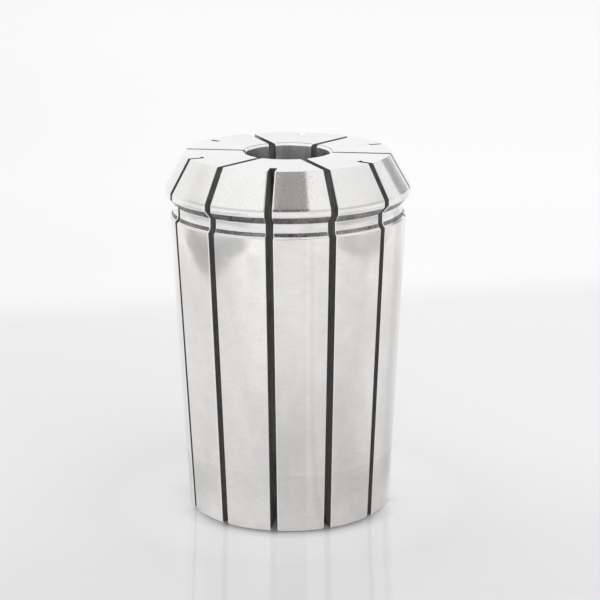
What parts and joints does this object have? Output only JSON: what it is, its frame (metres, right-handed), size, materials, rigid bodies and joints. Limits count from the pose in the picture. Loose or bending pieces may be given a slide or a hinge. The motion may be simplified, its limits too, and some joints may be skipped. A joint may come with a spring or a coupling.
{
  "type": "spring collet",
  "caption": "Round slotted clamping sleeve with a tapered body, a grooved collar and a straight bore; squeezes onto a tool shank when pressed into a taper.",
  "frame": {"origin": "centre of the tail face, the small end that the collet stands on", "axes": "+Z along the bore towards the nose; +X and -Y each pass midway between a slot cut from the nose and one cut from the tail"},
  "size_m": [0.035, 0.035, 0.052],
  "materials": {
    "ground_steel": "hardened spring steel, ground on the taper, cone and bore, with dark sawn slots"
  },
  "bodies": {
    "root": {"spring_collet": "ground_steel"}
  },
  "joints": []
}
